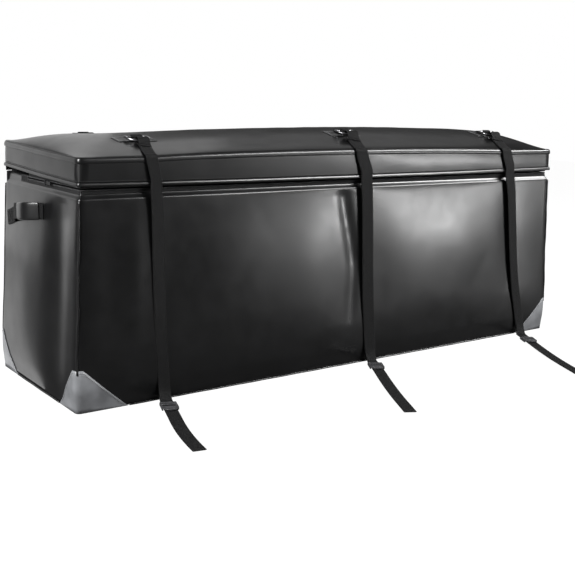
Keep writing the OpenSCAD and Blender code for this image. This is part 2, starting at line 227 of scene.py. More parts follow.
VINYL = vinyl("vinyl", (0.0045, 0.0045, 0.0048), 0.29, 0.05)
LID_VINYL = vinyl("lid_vinyl", (0.0045, 0.0045, 0.0048), 0.33, 0.06)
WELT = vinyl("welt", (0.008, 0.008, 0.0084), 0.30, 0.2)
GUARD = vinyl("guard", (0.20, 0.205, 0.215), 0.5, 0.3)
WEBBING = woven("webbing", (0.0042, 0.0042, 0.0045))
TAPE = woven("tape", (0.012, 0.012, 0.0125), 0.0012, 0.001, 0.0003)
THREAD = moulded("thread", (0.16, 0.16, 0.165), 0.6)
DARK_THREAD = moulded("dark_thread", (0.03, 0.03, 0.031), 0.55)
BUCKLE = moulded("buckle", (0.055, 0.055, 0.058), 0.30)
TEETH = moulded("teeth", (0.02, 0.02, 0.021), 0.35)
STEEL = plated("steel", (0.30, 0.30, 0.31), 0.26)
DARK_STEEL = plated("dark_steel", (0.05, 0.05, 0.052), 0.42)


# ---- helpers
def clamp(t):
    return min(1.0, max(0.0, t))


def ease(t):
    """A smooth step from 0 to 1."""
    t = clamp(t)
    return t * t * (3 - 2 * t)


def ways(path):
    """At each point of a path, the way from the point before it to the point after."""
    last = len(path) - 1
    return [path[min(i + 1, last)] - path[max(i - 1, 0)] for i in range(last + 1)]


def distances(path):
    """How far along a path each of its points is."""
    gone = [0.0]
    for a, b in zip(path, path[1:]):
        gone.append(gone[-1] + (b - a).length)
    return gone


def walk(path, ups):
    """A path's length, and a function for the point and the up direction at a distance along it."""
    gone = distances(path)

    def at(d):
        k = min(max(i for i, g in enumerate(gone) if g <= d or i == 0), len(path) - 2)
        t = (d - gone[k]) / max(gone[k + 1] - gone[k], 1e-9)
        return path[k].lerp(path[k + 1], t), ups[k].lerp(ups[k + 1], t).normalized()

    return gone[-1], at


def new_object(name, data):
    obj = bpy.data.objects.new(name, data)
    bpy.context.scene.collection.objects.link(obj)
    return obj


def make_mesh(name, points, faces, mat, cloth=None):
    """A smooth mesh; cloth gives each point's place across and along the cloth."""
    data = bpy.data.meshes.new(name)
    data.from_pydata([tuple(p) for p in points], [], faces)
    data.materials.append(mat)
    if cloth is not None:
        attribute = data.attributes.new("cloth", "FLOAT_VECTOR", "POINT")
        attribute.data.foreach_set("vector", [x for c in cloth for x in (*c, 0)])
    data.validate()
    data.polygons.foreach_set("use_smooth", [True] * len(data.polygons))
    return new_object(name, data)


def bridge(rings, closed=True, joined=False, caps=False):
    """Faces between rings of equal length; joined closes the run of rings into a loop."""
    n, count = len(rings[0]), len(rings)
    faces = []
    for i in range(count if joined else count - 1):
        for k in range(n if closed else n - 1):
            a, b = i * n + k, i * n + (k + 1) % n
            c, d = ((i + 1) % count) * n + (k + 1) % n, ((i + 1) % count) * n + k
            faces.append((a, b, c, d))
    if caps:
        faces.append(tuple(reversed(range(n))))
        faces.append(tuple((count - 1) * n + k for k in range(n)))
    return faces


def loft(name, rings, mat, cloth=None, **how):
    """A mesh through rings of points, bridged as how says."""
    return make_mesh(name, [p for r in rings for p in r], bridge(rings, **how), mat, cloth)


def add_loft(points, faces, rings):
    """Adds a small capped loft to the points and faces of a mesh in the making."""
    base = len(points)
    points += [p for r in rings for p in r]
    faces += [tuple(base + k for k in face) for face in bridge(rings, caps=True)]


def face_out(obj, away):
    """Turns an open sheet's faces to look along away."""
    bm = bmesh.new()
    bm.from_mesh(obj.data)
    bmesh.ops.recalc_face_normals(bm, faces=bm.faces)
    if sum(f.normal.dot(away) for f in bm.faces) < 0:
        bmesh.ops.reverse_faces(bm, faces=bm.faces)
    bm.to_mesh(obj.data)
    bm.free()


def sweep(name, path, section, mat, ups, closed=False, cloth=False, wide=None, turns=None):
    """A section of (side, up) points swept along a path; ups gives the up direction at each point.

    wide scales the section sideways at each point, and turns rolls it about the path.
    """
    count = len(path)
    rings, places, gone = [], [], distances(path)
    for i, p in enumerate(path):
        before = path[(i - 1) % count] if closed or i else p
        after = path[(i + 1) % count] if closed or i < count - 1 else p
        ahead = (after - before).normalized()
        side = ahead.cross(ups[i]).normalized()
        up = side.cross(ahead)
        if turns:
            roll = Matrix.Rotation(turns[i], 3, ahead)
            side, up = roll @ side, roll @ up
        w = wide[i] if wide else 1.0
        rings.append([p + side * s * w + up * u for s, u in section])
        places += [(s, gone[i]) for s, u in section]
    return loft(name, rings, mat, places if cloth else None, joined=closed, caps=not closed)


def oval(half_w, half_t, n=12, power=2.0):
    """A rounded section; a higher power squares it."""
    out = []
    for k in range(n):
        a = 2 * math.pi * k / n
        c, s = math.cos(a), math.sin(a)
        across = half_w * math.copysign(abs(c) ** (2 / power), c)
        out.append((across, half_t * math.copysign(abs(s) ** (2 / power), s)))
    return out


def smooth(points, per=5):
    """A Catmull-Rom line through points of any dimension."""
    points = [Vector(p) for p in points]
    line = []
    for i in range(len(points) - 1):
        a, b = points[max(i - 1, 0)], points[i]
        c, d = points[i + 1], points[min(i + 2, len(points) - 1)]
        for k in range(per):
            t = k / per
            bend = (2 * a - 5 * b + 4 * c - d) * t * t + (3 * b - a - 3 * c + d) * t**3
            line.append(0.5 * (2 * b + (c - a) * t + bend))
    line.append(points[-1])
    return line


def modify(obj, name, kind, **values):
    mod = obj.modifiers.new(name, kind)
    for key, value in values.items():
        setattr(mod, key, value)
    return obj


def solidify(obj, thickness, offset=-1.0):
    return modify(obj, "thickness", "SOLIDIFY", thickness=thickness, offset=offset, use_even_offset=True)


def join(name, objs):
    """Joins objects into the first and renames it."""
    with bpy.context.temp_override(active_object=objs[0], selected_editable_objects=objs):
        bpy.ops.object.join()
    objs[0].name = name
    return objs[0]


def apply_modifiers(obj):
    graph = bpy.context.evaluated_depsgraph_get()
    graph.update()
    data = bpy.data.meshes.new_from_object(obj.evaluated_get(graph))
    obj.modifiers.clear()
    obj.data = data
    data.polygons.foreach_set("use_smooth", [True] * len(data.polygons))
    return obj


# A stitch: share of its length, of its lift and of its thickness.
STITCH = ((0.0, 0.0, 0.4), (0.2, 0.8, 1.0), (0.5, 1.0, 1.05), (0.8, 0.8, 1.0), (1.0, 0.0, 0.4))


def stitches(name, path, ups, mat, pitch=0.0045, share=0.62, radius=0.00045):
    """A row of thread stitches along a path, each a small bent capsule."""
    total, at = walk(path, ups)
    turns = [math.pi * k / 3 for k in range(6)]
    points, faces = [], []
    for n in range(int(total / pitch)):
        start = (n + 0.5 * (1 - share)) * pitch
        rings = []
        for t, lift, size in STITCH:
            p, up = at(start + t * share * pitch)
            q, _ = at(min(start + t * share * pitch + 1e-4, total))
            ahead = (q - p).normalized() if (q - p).length > 1e-9 else Vector((1, 0, 0))
            side = ahead.cross(up).normalized()
            centre = p + up * (lift * radius * 0.7 - radius * 0.25)
            r = radius * size
            rings.append([centre + (side * math.cos(a) * 1.3 + up * math.sin(a)) * r for a in turns])
        add_loft(points, faces, rings)
    return make_mesh(name, points, faces, mat)


# ---- the soft outline
FRONT, RIGHT, BACK, LEFT = "front", "right", "back", "left"
OUT = {FRONT: Vector((0, -1, 0)), RIGHT: Vector((1, 0, 0)), BACK: Vector((0, 1, 0)), LEFT: Vector((-1, 0, 0))}
UP = Vector((0, 0, 1))
STRAP_X = [(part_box(f"ring_front_{s}")[0].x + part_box(f"ring_front_{s}")[1].x) / 2 for s in SIDES]


def stations(half_l, half_d, radius, long_n, short_n, arc_n=5):
    """Places round a rounded rectangle: (side or None at a corner, place along, point, outward)."""
    out = []
    r = max(min(radius, half_l, half_d), 0.0)
    quarter = math.pi / 2
    sides = (
        (FRONT, long_n, half_l - r, lambda s: Vector((s, -half_d, 0)), 1, (1, -1)),
        (RIGHT, short_n, half_d - r, lambda s: Vector((half_l, s, 0)), 1, (1, 1)),
        (BACK, long_n, half_l - r, lambda s: Vector((s, half_d, 0)), -1, (-1, 1)),
        (LEFT, short_n, half_d - r, lambda s: Vector((-half_l, s, 0)), -1, (-1, -1)),
    )
    for k, (side, n, half, place, way, (sx, sy)) in enumerate(sides):
        for i in range(n + 1):
            s = half * (2 * i / n - 1) * way
            out.append((side, s, place(s), OUT[side]))
        centre = Vector((sx * (half_l - r), sy * (half_d - r), 0))
        for i in range(1, arc_n):
            a = quarter * (k - 1 + i / arc_n)
            away = Vector((math.cos(a), math.sin(a), 0))
            out.append((None, (sx, sy), centre + away * r, away))
    return out


# Soft folds: side, from (along, height), to (along, height), width, depth outwards.
FOLDS = [
    (FRONT, (-0.048, 0.478), (-0.026, 0.36), 0.017, -0.0042),
    (FRONT, (-0.026, 0.380), (-0.004, 0.26), 0.019, -0.0044),
    (FRONT, (-0.004, 0.290), (-0.016, 0.10), 0.018, -0.0030),
    (FRONT, (-0.030, 0.480), (-0.020, 0.10), 0.090, -0.0030),
    (FRONT, (-0.640, 0.470), (-0.635, 0.14), 0.018, 0.0010),
    (FRONT, (-0.700, 0.440), (-0.700, 0.10), 0.035, -0.0026),
    (FRONT, (0.600, 0.450), (0.610, 0.12), 0.040, -0.0024),
    (FRONT, (0.300, 0.380), (0.480, 0.22), 0.070, 0.0012),
    (FRONT, (-0.480, 0.300), (-0.300, 0.42), 0.080, 0.0012),
    (FRONT, (-0.420, 0.120), (-0.100, 0.08), 0.050, -0.0012),
    (FRONT, (0.200, 0.100), (0.500, 0.07), 0.050, -0.0012),
    (LEFT, (-0.122, 0.500), (-0.118, -0.03), 0.052, -0.0085),
    (LEFT, (0.060, 0.330), (0.030, 0.10), 0.060, 0.0010),
    (RIGHT, (-0.100, 0.440), (-0.080, 0.08), 0.035, -0.0026),
    (RIGHT, (0.090, 0.420), (0.120, 0.12), 0.045, 0.0020),
    (BACK, (-0.500, 0.450), (-0.460, 0.10), 0.040, -0.0030),
    (BACK, (-0.200, 0.440), (-0.260, 0.12), 0.050, 0.0026),
    (BACK, (0.140, 0.450), (0.180, 0.10), 0.036, -0.0030),
    (BACK, (0.480, 0.400), (0.420, 0.10), 0.060, 0.0026),
]


def fold_depth(side, s, z):
    total = 0.0
    for where, a, b, width, depth in FOLDS:
        if where != side:
            continue
        ax, az, bx, bz = *a, *b
        length2 = (bx - ax) ** 2 + (bz - az) ** 2
        t = clamp(((s - ax) * (bx - ax) + (z - az) * (bz - az)) / length2)
        away = math.hypot(s - ax - t * (bx - ax), z - az - t * (bz - az))
        fade = math.sin(math.pi * min(0.97, max(0.03, t))) ** 0.5
        total += depth * fade * math.exp(-((away / width) ** 2))
    return total


# Where each strap holds the front in: place beside the strap, and width.
HELD = ((0.008, 0.12), (0.004, 0.13), (0.024, 0.18))
HELD_DEPTH = 0.55  # the share of the front's swell that a strap takes away
BELLY_AT, BELLY_WIDE = 0.17, 0.22  # the low belly's height and width, as shares of the wall


def swell(side, s, z):
    """How far the bag's wall stands out from its flat CAD panel."""
    v = clamp(z / LEDGE)
    arch = math.sin(math.pi * v**0.85) if 0 < v < 1 else 0.0
    belly = math.exp(-(((v - BELLY_AT) / BELLY_WIDE) ** 2)) * min(1.0, v / 0.10)
    bow = 0.003 * arch + 0.005 * belly
    if side is None:
        return bow
    half = (HALF_L if side in (FRONT, BACK) else HALF_D) - CORNER_R
    share = min(1.0, abs(s) / half)
    full, power = (0.0110, 9 if s < 0 else 4) if side in (FRONT, BACK) else (0.0090, 2.2)
    puff = full * arch * (1 - share**power)
    if side == FRONT:
        for x, (move, width) in zip(STRAP_X, HELD):
            puff *= 1 - HELD_DEPTH * math.exp(-(((s - x - move) / width) ** 2))
    fade = min(1.0, (1 - share) * half / 0.02) * min(1.0, v / 0.04) * min(1.0, (1 - v) / 0.03)
    where = OUT[side] * 7.3 + Vector((s, 0, z))
    ripple = 0.0008 * noise.noise(where * 4) + 0.00012 * noise.noise(where * 15)
    return bow + puff + fade * (fold_depth(side, s, z) + ripple)


def on_wall(side, s, z, out=0.0):
    """A point on the bag's swollen wall, out metres off its surface."""
    away = OUT[side]
    base = Vector((s, away.y * HALF_D, z) if side in (FRONT, BACK) else (away.x * HALF_L, s, z))
    return base + away * (swell(side, s, z) + out)


def at_corner(sx, sy, z, out=0.0, away=None):
    """A point on an upright corner's surface, out metres off it, along the diagonal unless away is given."""
    away = away or Vector((sx, sy, 0)).normalized()
    centre = Vector((sx * (HALF_L - CORNER_R), sy * (HALF_D - CORNER_R), z))
    return centre + away * (CORNER_R + swell(None, 0, z) + out)


def lid_rise(x, y):
    ax, ay = min(1.0, abs(x) / LID_L), min(1.0, abs(y) / LID_D)
    full = CROWN_MORE * max(0.0, 1 - ((x - FULL_X) / FULL_HALF) ** 2)
    return (CROWN + full) * (1 - ax**16) * (1 - ay**2.6)


EDGE_DRAWN, END_DRAWN = 0.009, 0.0135  # how far the lid's front edge and its left end are drawn up


def edge_lift(x, y):
    """How far the lid's edge is drawn up: in the middle of the front, and at the left end."""
    along = max(0.0, 1 - (x / 0.60) ** 2) ** 0.8
    return EDGE_DRAWN * along * ease((-y - 0.165) / (LID_D - 0.165)) + end_lift(x, y)


def end_lift(x, y):
    """How far the left end of the lid is pulled up, more towards its back corner."""
    return END_DRAWN * ease((-x - 0.62) / (LID_L - 0.62)) * clamp((y + LID_D) / (2 * LID_D)) ** 1.3


def lid_sag(x, y):
    """Slight unevenness of the lid's top, fading out at its edge."""
    fade = min(1.0, (LID_L - abs(x)) / 0.06) * min(1.0, (LID_D - abs(y)) / 0.05)
    p = Vector((x, y, 3.1))
    return max(fade, 0.0) * (0.0016 * noise.noise(p * 6) + 0.0006 * noise.noise(p * 19))


def on_lid(x, y, out=0.0):
    """A point on the lid's crowned top, out metres above it along its normal."""
    e = 0.001
    dx = (lid_rise(x + e, y) - lid_rise(x - e, y)) / (2 * e)
    dy = (lid_rise(x, y + e) - lid_rise(x, y - e)) / (2 * e)
    normal = Vector((-dx, -dy, 1)).normalized()
    return Vector((x, y, EDGE + lid_rise(x, y) + lid_sag(x, y))) + normal * out, normal


def lid_height(x, y):
    return EDGE + lid_rise(x, y) + lid_sag(x, y) + edge_lift(x, y)


# ---- straps, the free cords
# The CAD's own routes, in metres: distance forward, height, share of the bow or lean, and,
# on the lid, the share of the anchor's lift.
STRAP_BOW = (-0.012, -0.020, -0.018)
STRAP_LIFT = (0.002, 0.009, 0.003)
ANCHOR_LIFT = (0, 0.0142, 0.0106)
STRAP_LEAN = (0.028, 0.033, 0.079)
TAIL_TURN = (math.radians(20), math.radians(31), math.radians(31))
RUN_ROUTE = (
    (0.182, 0.5804, 0.3, 0.55), (0.176, 0.583, 0.17, 0.68), (0.170, 0.589, 0.05, 0.9), (0.165, 0.597, 0, 1),
    (0.158, 0.600, 0, 1), (0.1515, 0.598, 0, 1), (0.149, 0.592, 0, 1), (0.151, 0.587, 0, 1),
    (0.157, 0.5852, 0, 1), (0.164, 0.5839, 0, 1), (0.172, 0.581, 0.1, 0.8), (0.180, 0.5784, 0.25, 0.55),
    (0.195, 0.573, 0.6, 0.33), (0.210, 0.5674, 0.9, 0.14), (0.219, 0.5636, 1, 0.04), (0.2245, 0.562, 1, 0),
    (0.2275, 0.557, 0.95, 0), (0.228, 0.548, 0.85, 0), (0.2285, 0.528, 0.4, 0), (0.2289, 0.510, 0, 0),
    (0.229, 0.498, 0, 0),
)
DROP_ROUTE = (
    (0.229, 0.495, 0), (0.2292, 0.484, 0), (0.230, 0.440, 0.12), (0.231, 0.380, 0.2),
    (0.2315, 0.300, 0.3), (0.232, 0.220, 0.42), (0.232, 0.150, 0.56), (0.2315, 0.095, 0.74),
    (0.2305, 0.050, 0.9), (0.231, 0.028, 0.97), (0.235, 0.014, 0.97), (0.242, 0.006, 0.9),
    (0.250, 0.0036, 0.8), (0.256, 0.0036, 0.72),
)
# Along the heading, sideways drift, height.
TAIL_ROUTES = (
    ((0.008, 0, 0.0036), (0.050, 0, 0.0036), (0.095, 0, 0.0036), (0.140, 0, 0.0036),
     (0.180, 0.0015, 0.0032), (0.220, 0.005, 0.0024), (0.260, 0.010, 0.002), (0.298, 0.016, 0.002)),
    ((0.008, 0, 0.0036), (0.050, 0, 0.0036), (0.100, 0, 0.0036), (0.150, 0, 0.0036),
     (0.200, 0.001, 0.003), (0.250, 0.003, 0.0023), (0.300, 0.0055, 0.002), (0.345, 0.0085, 0.002),
     (0.386, 0.011, 0.002)),
    ((0.008, 0, 0.0036), (0.060, 0, 0.0036), (0.115, 0, 0.0036), (0.170, 0, 0.0036),
     (0.210, 0.002, 0.003), (0.255, 0.005, 0.0023), (0.300, 0.009, 0.002), (0.350, 0.014, 0.002),
     (0.412, 0.021, 0.002)),
)
STRAP_STEPS = 4  # points of a strap's smooth line between two points of its route
FOOT_GAP = 0.001
WEBBING_W, TAIL_W, WEBBING_T = 0.038, 0.030, 0.0022


def webbing_section(w=WEBBING_W, t=WEBBING_T, n=14):
    """Flat webbing with rounded, slightly thick edges: points anticlockwise."""
    half, edge = w / 2, t / 2
    top = []
    for k in range(n + 1):
        s = -half + w * k / n
        share = abs(s) / half
        lift = edge * (1 - max(0.0, (share - 0.94) / 0.06) ** 2 * 0.65)
        top.append((s, lift))
    return top[::-1] + [(s, -u) for s, u in top]


def strap_ups(path):
    """Directions out of the strap's flat side, for a route that comes forward and down."""
    return [Vector((0, t.z, -t.y)).normalized() for t in ways(path)]


# How far each strap is turned about its own length, half way down the front.
STRAP_TWIST = (math.radians(12), 0.0, math.radians(-6))
TWIST_LOW, TWIST_HIGH = 0.02, 0.47  # the heights between which they turn
STRAP_SLIM = (0.76, 1.0, 1.0)  # STRAP_SLIM = (0.76, 1.0, 1.0) # the left strap is drawn narrower, as a slightly curled strap looks


def strap_turn(i, z):
    """A strap's turn about its length: none at the hem and at the ground."""
    v = clamp((z - TWIST_LOW) / (TWIST_HIGH - TWIST_LOW))
    return STRAP_TWIST[i] * math.sin(math.pi * v) ** 0.45


def strap_width(i, p):
    """The strap draws in to the width of its free end just above the ground."""
    return STRAP_SLIM[i] + (TAIL_W / WEBBING_W - STRAP_SLIM[i]) * ease((0.045 - p.z) / 0.041)


def tail_line(i, foot):
    """The strap end's route on the ground, starting at its foot."""
    a = TAIL_TURN[i]
    ahead, aside = Vector((-math.sin(a), -math.cos(a), 0)), Vector((math.cos(a), -math.sin(a), 0))
    hinge = Vector((foot.x, foot.y - FOOT_GAP, 0))
    points = [hinge + ahead * d + aside * s + Vector((0, 0, z)) for d, s, z in TAIL_ROUTES[i]]
    return [foot.copy()] + points


def sewn_box(name, centre, axes, size, mat, cross=True):
    """Stitching round a box, with a cross in it; axes run along, across and out of it."""
    along, across, up = axes
    l, w = along * size[0] / 2, across * size[1] / 2
    corners = [centre + l + w, centre + l - w, centre - l - w, centre - l + w, centre + l + w]
    runs = [corners]
    if cross:
        runs += [[corners[0], corners[2]], [corners[1], corners[3]]]
    made = [stitches(f"{name}_{k}", run, [up] * len(run), mat, 0.004) for k, run in enumerate(runs)]
    return join(name, made)


def make_straps(buckles):
    for i, side in enumerate(SIDES):
        x = STRAP_X[i]
        run = [
            Vector((x + STRAP_BOW[i] * b, -y, z + STRAP_LIFT[i] * b + ANCHOR_LIFT[i] * a))
            for y, z, b, a in RUN_ROUTE
        ]
        drop = [Vector((x + STRAP_LEAN[i] * b, -y, z)) for y, z, b in DROP_ROUTE]
        line = smooth(run + drop, STRAP_STEPS)
        end_line = smooth(tail_line(i, drop[-1]), 6)
        ups = strap_ups(line)
        free = STRAP_STEPS * (len(RUN_ROUTE) - 3)
        turns = [strap_turn(i, p.z) if k > free else 0.0 for k, p in enumerate(line)]
        wide = [strap_width(i, p) for p in line]
        strap = sweep(f"strap_{side}", line, webbing_section(), WEBBING, ups, False, True, wide, turns)
        flat = [UP] * len(end_line)
        tail_strap = sweep(f"strap_{side}_end", end_line, webbing_section(TAIL_W), WEBBING, flat, cloth=True)
        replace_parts(strap, f"strap_{side}_run", f"strap_{side}_drop")
        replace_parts(tail_strap, f"strap_{side}_tail")
        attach(tail_strap, f"tail_{side}")
        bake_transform(strap)
        tuple(line[0])
        round(distances(line)[-1], 3)
        [tuple(p) for p in line]
        tuple(end_line[0])
        round(distances(end_line)[-1], 3)
        [tuple(p) for p in end_line]
        seams = [on_lid_strap(line, ups, aside, 9) for aside in (-0.0105, 0.0105)]
        bars = [stitches("sewing", *seam, DARK_THREAD, 0.0042) for seam in seams]
        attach(join(f"strap_{side}_sewing", bars), "lid")


def on_lid_strap(line, ups, aside, count):
    """A line of stitching beside the middle of a strap, just below its eye."""
    start = 40
    pts, out = [], []
    for p, q, up in zip(line[start : start + count], line[start + 1 :], ups[start:]):
        side = (q - p).cross(up).normalized()
        pts.append(p + side * aside + up * (WEBBING_T / 2 + 0.0001))
        out.append(up)
    return pts, out


# ---- buckles
BUCKLE_SET = (0.008, 0.008, 0.038)


def rounded_bar(name, low, high, radius, mat):
    """A moulded bar between two corners, with rounded edges."""
    bm = bmesh.new()
    bmesh.ops.create_cube(bm, size=1.0)
    low, high = Vector(low), Vector(high)
    size, mid = high - low, (high + low) / 2
    for v in bm.verts:
        v.co = Vector(c * s for c, s in zip(v.co, size)) + mid
    round_to = min(radius, min(size) * 0.48)
    bmesh.ops.bevel(bm, geom=bm.edges[:], offset=round_to, segments=3, profile=0.5, affect="EDGES")
    data = bpy.data.meshes.new(name)
    bm.to_mesh(data)
    bm.free()
    data.materials.append(mat)
    return new_object(name, data)


def buckle_master():
    """A ladder buckle at the origin, its strap running to +Y, fused from its moulded parts."""
    rail, inside, low, high, over, tab_y = 0.0036, 0.0158, 0.0006, 0.0085, 0.0054, 0.038
    half = inside + rail
    parts = []
    for s in (-1, 1):
        a, b = sorted((s * inside, s * half))
        parts.append(rounded_bar("rail", (a, 0, low), (b, tab_y + 0.002, high), 0.0016, BUCKLE))
    for start, end, top in ((0, 0.006, high), (0.013, 0.019, high + 0.0004), (0.028, 0.0335, high)):
        low_corner, high_corner = (-inside - 0.002, start, over), (inside + 0.002, end, top)
        parts.append(rounded_bar("bar", low_corner, high_corner, 0.0014, BUCKLE))
    low_corner, high_corner = (-inside - 0.002, 0.021, low), (inside + 0.002, 0.026, 0.0019)
    parts.append(rounded_bar("low_bar", low_corner, high_corner, 0.0006, BUCKLE))
    rings = []
    for k in range(25):
        a = math.pi * k / 24
        rim = Vector((math.cos(a) * half, tab_y - 0.006 + math.sin(a) * (half + 0.0055), 0))
        heel = Vector((rim.x * 0.82, tab_y - 0.0065 + (rim.y - tab_y + 0.006) * 0.80, 0))
        root = Vector((math.cos(a) * 0.004, tab_y - 0.006 + math.sin(a) * 0.002, 0))
        lip = 0.0016 * math.sin(a)
        shape = (
            (rim, over + 0.0006 + lip * 0.4), (rim, high - 0.0006 + lip), (heel, high - 0.0010 + lip * 0.5),
            (root, high - 0.0012), (root, over + 0.0002),
        )
        rings.append([p + UP * z for p, z in shape])
    parts.append(loft("tab", rings, BUCKLE, caps=True))
    for k in range(4):
        y = tab_y + 0.0005 + 0.0032 * k
        reach = 0.0105 - 0.0016 * k
        low_corner, high_corner = (-reach, y, high - 0.0018), (reach, y + 0.0012, high + 0.0004)
        parts.append(rounded_bar("rib", low_corner, high_corner, 0.0004, BUCKLE))
    obj = join("buckle_master", parts)
    modify(obj, "fuse", "REMESH", mode="VOXEL", voxel_size=0.00042, use_smooth_shade=True)
    modify(obj, "soften", "SMOOTH", factor=0.5, iterations=3)
    modify(obj, "thin", "DECIMATE", ratio=0.35)
    return apply_modifiers(obj)


def make_buckles():
    master = buckle_master()
    made = []
    for i, side in enumerate(SIDES):
        y, _, share = DROP_ROUTE[-1]
        foot = Vector((STRAP_X[i] + STRAP_LEAN[i] * share, -y - FOOT_GAP, 0))
        a = TAIL_TURN[i]
        obj = new_object(f"ladder_buckle_{side}", master.data.copy())
        turn = Matrix.Rotation(math.pi - a, 4, "Z") @ Matrix.Translation((0, BUCKLE_SET[i], 0))
        obj.data.transform(Matrix.Translation(foot) @ turn)
        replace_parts(obj, f"buckle_{side}")
        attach(obj, f"buckle_{side}")
        made.append(obj)
    bpy.data.objects.remove(master)
    return made


# ---- the bag's body
def make_shell():
    """Walls, ledge and zip band in one lofted shell, closed by its base."""
    places = stations(HALF_L, HALF_D, CORNER_R, 150, 44)
    walls = 46
    rings = []

    def band_top(side, point):
        if side == BACK:
            return BACK_TOP
        return BACK_TOP - 0.0006 if point.y > ZIP_BACK + 0.002 else TAPE_TOP - 0.001

    def inward(point):
        return 0.0 if point.y > HALF_D - CORNER_R * 0.35 else 1.0

    def add(fn):
        ring = []
        for side, s, point, away in places:
            inset, z = fn(side, s, point)
            ring.append(point - away * inset + UP * z)
        rings.append(ring)

    for inset, z in ((0.0075, 0.0004), (0.0030, 0.0007), (0.0008, 0.0028)):
        add(lambda side, s, p: (inset, z))
    for k in range(walls):
        z = 0.006 + (LEDGE - 0.009) * k / (walls - 1)
        add(lambda side, s, p: (-swell(side, s, z), z))
    roll = (
        (0.0003, LEDGE + 0.0003, 0.12), (0.0010, LEDGE + 0.0016, 0.18), (0.0026, LEDGE + 0.0038, 0.28),
        (0.0048, LEDGE + 0.0066, 0.40), (0.0066, LEDGE + 0.0096, 0.52), (0.0076, LEDGE + 0.0128, 0.66),
    )
    for inset, z, share in roll:
        back = LEDGE + share * (BACK_TOP - LEDGE)
        add(lambda side, s, p: (inset * inward(p), z * inward(p) + back * (1 - inward(p))))
    add(lambda side, s, p: (INSET * inward(p), band_top(side, p)))
    points = [p for r in rings for p in r]
    faces = bridge(rings) + [tuple(reversed(range(len(places))))]
    shell = make_mesh("bag_shell", points, faces, VINYL)
    solidify(shell, FABRIC_T)
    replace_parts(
        shell, "base_panel", "front_panel", "back_panel", "left_panel", "right_panel",
        "zip_band_front", "zip_band_left", "zip_band_right",
    )
    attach(shell, "bag")


def open_run(half_l, half_d, z, back, step=0.006, radius=0.006):
    """A line that runs from the back of the left end round the front to the back of the right."""
    pts, outs = [], []

    def add(p, o):
        pts.append(Vector((*p, z)))
        outs.append(Vector((*o, 0)))

    def corner(way, start):
        for i in range(9):
            a = start + math.pi / 2 * i / 8
            x, y = way * (half_l - radius) + radius * math.cos(a), -(half_d - radius) + radius * math.sin(a)
            add((x, y), (math.cos(a), math.sin(a)))

    n = max(2, int((back + half_d) / step))
    for i in range(n):
        add((-half_l, back + (-(half_d - radius) - back) * i / n), (-1, 0))
    corner(-1, math.pi)
    m = int(2 * half_l / (step * 2))
    for i in range(1, m):
        add((-(half_l - radius) + 2 * (half_l - radius) * i / m, -half_d), (0, -1))
    corner(1, -math.pi / 2)
    for i in range(1, n + 1):
        add((half_l, -(half_d - radius) + (back + half_d - radius) * i / n), (1, 0))
    return pts, outs


def ribbon(name, pts, outs, low, high, out, mat, thickness=0.0008, rows=3):
    """An upright strip of cloth along a run, between two heights, out metres off the run."""
    heights = [low + (high - low) * k / rows for k in range(rows + 1)]
    rings = [[Vector((p.x, p.y, z)) + o * out for z in heights] for p, o in zip(pts, outs)]
    places = [(z - low, gone) for gone in distances(pts) for z in heights]
    return solidify(loft(name, rings, mat, places, closed=False), thickness, 0.0)


def zip_teeth(name, pts, outs, low, high, way):
    """A row of moulded teeth on their cord, each tapering towards the other chain."""
    pitch = 0.0034
    z = (low + high) / 2 - way * 0.0009
    path = [Vector((p.x, p.y, z)) + o * -0.0026 for p, o in zip(pts, outs)]
    cord = sweep(f"{name}_cord", path, oval(0.0016, 0.0011, 8), TEETH, [UP] * len(pts))
    total, at = walk(pts, outs)
    root, tip = (low, high) if way > 0 else (high, low)
    levels = ((root, 0.00115, 0.0024), ((root + tip) / 2, 0.0012, 0.0027), (tip, 0.00075, 0.0019))
    points, faces = [], []
    for n in range(int(total / pitch) + 1):
        p, o = at(n * pitch)
        along = o.cross(UP)
        rings = []
        for z, half, deep in levels:
            level = Vector((p.x, p.y, z))
            corners = ((-1, -1), (1, -1), (1, 1), (-1, 1))
            rings.append([level + along * half * a + o * (deep * d - 0.0028) for a, d in corners])
        add_loft(points, faces, rings)
    teeth = make_mesh(f"{name}_teeth", points, faces, TEETH)
    apply_modifiers(modify(teeth, "round", "BEVEL", width=0.0004, segments=1))
    return join(name, [cord, teeth])


